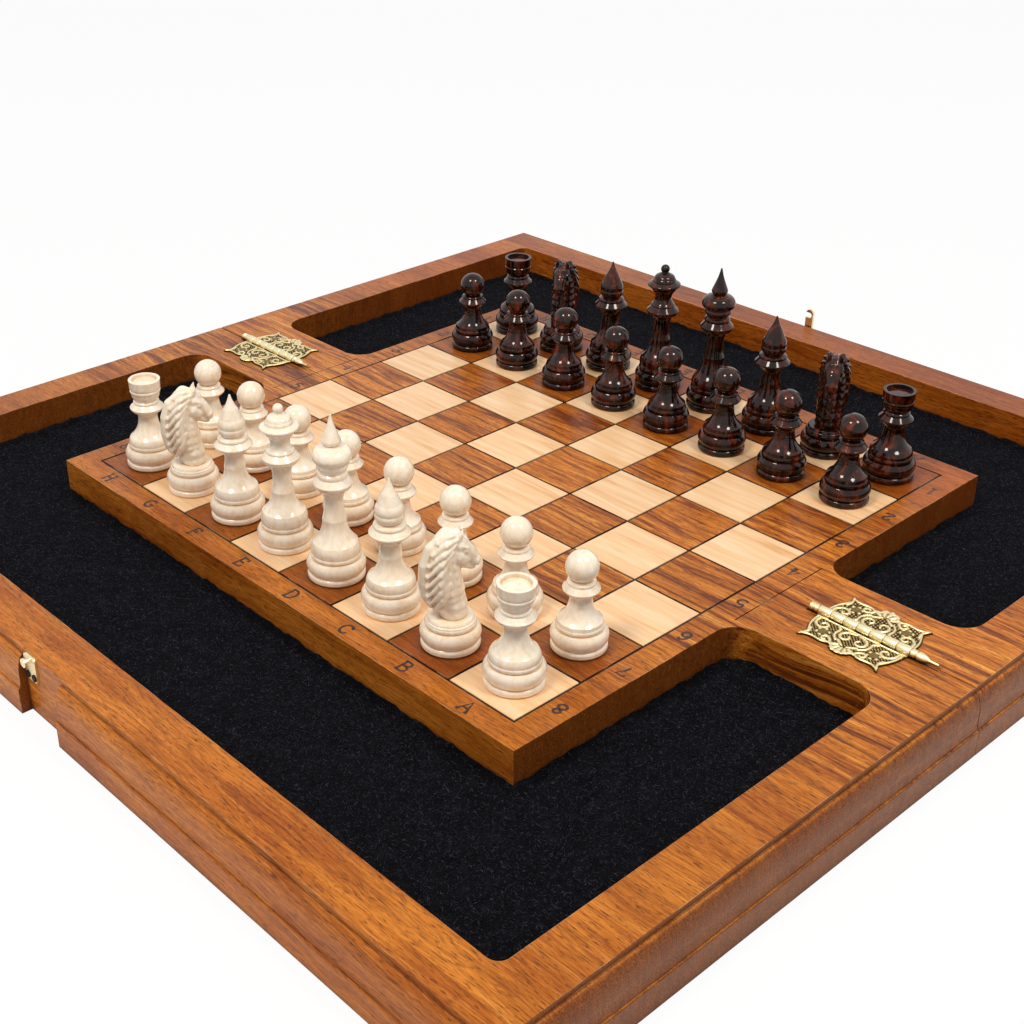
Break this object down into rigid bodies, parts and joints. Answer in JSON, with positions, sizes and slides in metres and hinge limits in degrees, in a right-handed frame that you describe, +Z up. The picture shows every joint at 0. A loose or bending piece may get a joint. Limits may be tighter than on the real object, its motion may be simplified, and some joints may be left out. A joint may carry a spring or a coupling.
{
  "type": "folding chess box with chessmen",
  "caption": "Folding wooden chess box opened flat, with felt-lined wells round the raised board, ornate brass hinges, a hook latch and chessmen.",
  "frame": {"origin": "on the surface that the open box stands on, under its centre", "axes": "+X across the fold from the white half to the black half, +Y along the fold from file A to file H, +Z up"},
  "size_m": [0.5166, 0.5046, 0.1054],
  "materials": {
    "stained_beech": "gloss lacquer over brown stain",
    "maple": "satin lacquer",
    "boxwood": "gloss lacquer",
    "ebonised_beech": "gloss lacquer over dark stain",
    "black_felt": "short felt pile",
    "antique_brass": "cast and antiqued"
  },
  "bodies": {
    "white_half": {"white_deck": "stained_beech", "white_base": "stained_beech", "white_felt": "black_felt", "white_light_squares": "maple", "white_screws": "antique_brass", "white_hinge_leaf_front": "antique_brass", "white_hinge_leaf_back": "antique_brass", "hinge_pin_front": "antique_brass", "hinge_pin_back": "antique_brass", "latch_keeper": "antique_brass"},
    "black_half": {"black_deck": "stained_beech", "black_base": "stained_beech", "black_felt": "black_felt", "black_light_squares": "maple", "black_screws": "antique_brass", "black_hinge_leaf_front": "antique_brass", "black_hinge_leaf_back": "antique_brass", "latch_plate": "antique_brass", "latch_rivet": "antique_brass"},
    "latch_hook": {"latch_hook": "antique_brass"},
    "white_rook_a8": {"white_rook_a8": "boxwood"},
    "white_pawn_a7": {"white_pawn_a7": "boxwood"},
    "white_knight_b8": {"white_knight_b8_foot": "boxwood", "white_knight_b8_head": "boxwood"},
    "white_pawn_b7": {"white_pawn_b7": "boxwood"},
    "white_bishop_c8": {"white_bishop_c8": "boxwood"},
    "white_pawn_c7": {"white_pawn_c7": "boxwood"},
    "white_king_d8": {"white_king_d8": "boxwood"},
    "white_pawn_d7": {"white_pawn_d7": "boxwood"},
    "white_queen_e8": {"white_queen_e8": "boxwood"},
    "white_pawn_e7": {"white_pawn_e7": "boxwood"},
    "white_bishop_f8": {"white_bishop_f8": "boxwood"},
    "white_pawn_f7": {"white_pawn_f7": "boxwood"},
    "white_knight_g8": {"white_knight_g8_foot": "boxwood", "white_knight_g8_head": "boxwood"},
    "white_pawn_g7": {"white_pawn_g7": "boxwood"},
    "white_rook_h8": {"white_rook_h8": "boxwood"},
    "white_pawn_h7": {"white_pawn_h7": "boxwood"},
    "black_rook_a1": {"black_rook_a1": "ebonised_beech"},
    "black_pawn_a2": {"black_pawn_a2": "ebonised_beech"},
    "black_knight_b1": {"black_knight_b1_foot": "ebonised_beech", "black_knight_b1_head": "ebonised_beech"},
    "black_pawn_b2": {"black_pawn_b2": "ebonised_beech"},
    "black_bishop_c1": {"black_bishop_c1": "ebonised_beech"},
    "black_pawn_c2": {"black_pawn_c2": "ebonised_beech"},
    "black_king_d1": {"black_king_d1": "ebonised_beech"},
    "black_pawn_d2": {"black_pawn_d2": "ebonised_beech"},
    "black_queen_e1": {"black_queen_e1": "ebonised_beech"},
    "black_pawn_e2": {"black_pawn_e2": "ebonised_beech"},
    "black_bishop_f1": {"black_bishop_f1": "ebonised_beech"},
    "black_pawn_f2": {"black_pawn_f2": "ebonised_beech"},
    "black_knight_g1": {"black_knight_g1_foot": "ebonised_beech", "black_knight_g1_head": "ebonised_beech"},
    "black_pawn_g2": {"black_pawn_g2": "ebonised_beech"},
    "black_rook_h1": {"black_rook_h1": "ebonised_beech"},
    "black_pawn_h2": {"black_pawn_h2": "ebonised_beech"}
  },
  "joints": [
    {"name": "fold", "type": "hinge", "parent": "white_half", "child": "black_half", "pos_m": [0, -0.198, 0.0316], "axis": [0, -1, 0], "range_deg": [0, 180]},
    {"name": "latch_swing", "type": "hinge", "parent": "black_half", "child": "latch_hook", "pos_m": [0.2555, 0.012, 0.023], "axis": [-1, 0, 0], "range_deg": [-90, 20]},
    {"name": "lift_white_rook_a8", "type": "slide", "parent": "white_half", "child": "white_rook_a8", "axis": [0, 0, 1], "range_m": [0, 0.79]},
    {"name": "lift_white_pawn_a7", "type": "slide", "parent": "white_half", "child": "white_pawn_a7", "axis": [0, 0, 1], "range_m": [0, 0.79]},
    {"name": "lift_white_knight_b8", "type": "slide", "parent": "white_half", "child": "white_knight_b8", "axis": [0, 0, 1], "range_m": [0, 0.79]},
    {"name": "lift_white_pawn_b7", "type": "slide", "parent": "white_half", "child": "white_pawn_b7", "axis": [0, 0, 1], "range_m": [0, 0.79]},
    {"name": "lift_white_bishop_c8", "type": "slide", "parent": "white_half", "child": "white_bishop_c8", "axis": [0, 0, 1], "range_m": [0, 0.79]},
    {"name": "lift_white_pawn_c7", "type": "slide", "parent": "white_half", "child": "white_pawn_c7", "axis": [0, 0, 1], "range_m": [0, 0.79]},
    {"name": "lift_white_king_d8", "type": "slide", "parent": "white_half", "child": "white_king_d8", "axis": [0, 0, 1], "range_m": [0, 0.79]},
    {"name": "lift_white_pawn_d7", "type": "slide", "parent": "white_half", "child": "white_pawn_d7", "axis": [0, 0, 1], "range_m": [0, 0.79]},
    {"name": "lift_white_queen_e8", "type": "slide", "parent": "white_half", "child": "white_queen_e8", "axis": [0, 0, 1], "range_m": [0, 0.79]},
    {"name": "lift_white_pawn_e7", "type": "slide", "parent": "white_half", "child": "white_pawn_e7", "axis": [0, 0, 1], "range_m": [0, 0.79]},
    {"name": "lift_white_bishop_f8", "type": "slide", "parent": "white_half", "child": "white_bishop_f8", "axis": [0, 0, 1], "range_m": [0, 0.79]},
    {"name": "lift_white_pawn_f7", "type": "slide", "parent": "white_half", "child": "white_pawn_f7", "axis": [0, 0, 1], "range_m": [0, 0.79]},
    {"name": "lift_white_knight_g8", "type": "slide", "parent": "white_half", "child": "white_knight_g8", "axis": [0, 0, 1], "range_m": [0, 0.79]},
    {"name": "lift_white_pawn_g7", "type": "slide", "parent": "white_half", "child": "white_pawn_g7", "axis": [0, 0, 1], "range_m": [0, 0.79]},
    {"name": "lift_white_rook_h8", "type": "slide", "parent": "white_half", "child": "white_rook_h8", "axis": [0, 0, 1], "range_m": [0, 0.79]},
    {"name": "lift_white_pawn_h7", "type": "slide", "parent": "white_half", "child": "white_pawn_h7", "axis": [0, 0, 1], "range_m": [0, 0.79]},
    {"name": "lift_black_rook_a1", "type": "slide", "parent": "white_half", "child": "black_rook_a1", "axis": [0, 0, 1], "range_m": [0, 0.79]},
    {"name": "lift_black_pawn_a2", "type": "slide", "parent": "white_half", "child": "black_pawn_a2", "axis": [0, 0, 1], "range_m": [0, 0.79]},
    {"name": "lift_black_knight_b1", "type": "slide", "parent": "white_half", "child": "black_knight_b1", "axis": [0, 0, 1], "range_m": [0, 0.79]},
    {"name": "lift_black_pawn_b2", "type": "slide", "parent": "white_half", "child": "black_pawn_b2", "axis": [0, 0, 1], "range_m": [0, 0.79]},
    {"name": "lift_black_bishop_c1", "type": "slide", "parent": "white_half", "child": "black_bishop_c1", "axis": [0, 0, 1], "range_m": [0, 0.79]},
    {"name": "lift_black_pawn_c2", "type": "slide", "parent": "white_half", "child": "black_pawn_c2", "axis": [0, 0, 1], "range_m": [0, 0.79]},
    {"name": "lift_black_king_d1", "type": "slide", "parent": "white_half", "child": "black_king_d1", "axis": [0, 0, 1], "range_m": [0, 0.79]},
    {"name": "lift_black_pawn_d2", "type": "slide", "parent": "white_half", "child": "black_pawn_d2", "axis": [0, 0, 1], "range_m": [0, 0.79]},
    {"name": "lift_black_queen_e1", "type": "slide", "parent": "white_half", "child": "black_queen_e1", "axis": [0, 0, 1], "range_m": [0, 0.79]},
    {"name": "lift_black_pawn_e2", "type": "slide", "parent": "white_half", "child": "black_pawn_e2", "axis": [0, 0, 1], "range_m": [0, 0.79]},
    {"name": "lift_black_bishop_f1", "type": "slide", "parent": "white_half", "child": "black_bishop_f1", "axis": [0, 0, 1], "range_m": [0, 0.79]},
    {"name": "lift_black_pawn_f2", "type": "slide", "parent": "white_half", "child": "black_pawn_f2", "axis": [0, 0, 1], "range_m": [0, 0.79]},
    {"name": "lift_black_knight_g1", "type": "slide", "parent": "white_half", "child": "black_knight_g1", "axis": [0, 0, 1], "range_m": [0, 0.79]},
    {"name": "lift_black_pawn_g2", "type": "slide", "parent": "white_half", "child": "black_pawn_g2", "axis": [0, 0, 1], "range_m": [0, 0.79]},
    {"name": "lift_black_rook_h1", "type": "slide", "parent": "white_half", "child": "black_rook_h1", "axis": [0, 0, 1], "range_m": [0, 0.79]},
    {"name": "lift_black_pawn_h2", "type": "slide", "parent": "white_half", "child": "black_pawn_h2", "axis": [0, 0, 1], "range_m": [0, 0.79]}
  ],
  "couplings": [
    {"joint": "lift_white_rook_a8", "follows": "fold", "m_per_rad": 0.25},
    {"joint": "lift_white_pawn_a7", "follows": "fold", "m_per_rad": 0.25},
    {"joint": "lift_white_knight_b8", "follows": "fold", "m_per_rad": 0.25},
    {"joint": "lift_white_pawn_b7", "follows": "fold", "m_per_rad": 0.25},
    {"joint": "lift_white_bishop_c8", "follows": "fold", "m_per_rad": 0.25},
    {"joint": "lift_white_pawn_c7", "follows": "fold", "m_per_rad": 0.25},
    {"joint": "lift_white_king_d8", "follows": "fold", "m_per_rad": 0.25},
    {"joint": "lift_white_pawn_d7", "follows": "fold", "m_per_rad": 0.25},
    {"joint": "lift_white_queen_e8", "follows": "fold", "m_per_rad": 0.25},
    {"joint": "lift_white_pawn_e7", "follows": "fold", "m_per_rad": 0.25},
    {"joint": "lift_white_bishop_f8", "follows": "fold", "m_per_rad": 0.25},
    {"joint": "lift_white_pawn_f7", "follows": "fold", "m_per_rad": 0.25},
    {"joint": "lift_white_knight_g8", "follows": "fold", "m_per_rad": 0.25},
    {"joint": "lift_white_pawn_g7", "follows": "fold", "m_per_rad": 0.25},
    {"joint": "lift_white_rook_h8", "follows": "fold", "m_per_rad": 0.25},
    {"joint": "lift_white_pawn_h7", "follows": "fold", "m_per_rad": 0.25},
    {"joint": "lift_black_rook_a1", "follows": "fold", "m_per_rad": 0.25},
    {"joint": "lift_black_pawn_a2", "follows": "fold", "m_per_rad": 0.25},
    {"joint": "lift_black_knight_b1", "follows": "fold", "m_per_rad": 0.25},
    {"joint": "lift_black_pawn_b2", "follows": "fold", "m_per_rad": 0.25},
    {"joint": "lift_black_bishop_c1", "follows": "fold", "m_per_rad": 0.25},
    {"joint": "lift_black_pawn_c2", "follows": "fold", "m_per_rad": 0.25},
    {"joint": "lift_black_king_d1", "follows": "fold", "m_per_rad": 0.25},
    {"joint": "lift_black_pawn_d2", "follows": "fold", "m_per_rad": 0.25},
    {"joint": "lift_black_queen_e1", "follows": "fold", "m_per_rad": 0.25},
    {"joint": "lift_black_pawn_e2", "follows": "fold", "m_per_rad": 0.25},
    {"joint": "lift_black_bishop_f1", "follows": "fold", "m_per_rad": 0.25},
    {"joint": "lift_black_pawn_f2", "follows": "fold", "m_per_rad": 0.25},
    {"joint": "lift_black_knight_g1", "follows": "fold", "m_per_rad": 0.25},
    {"joint": "lift_black_pawn_g2", "follows": "fold", "m_per_rad": 0.25},
    {"joint": "lift_black_rook_h1", "follows": "fold", "m_per_rad": 0.25},
    {"joint": "lift_black_pawn_h2", "follows": "fold", "m_per_rad": 0.25}
  ]
}
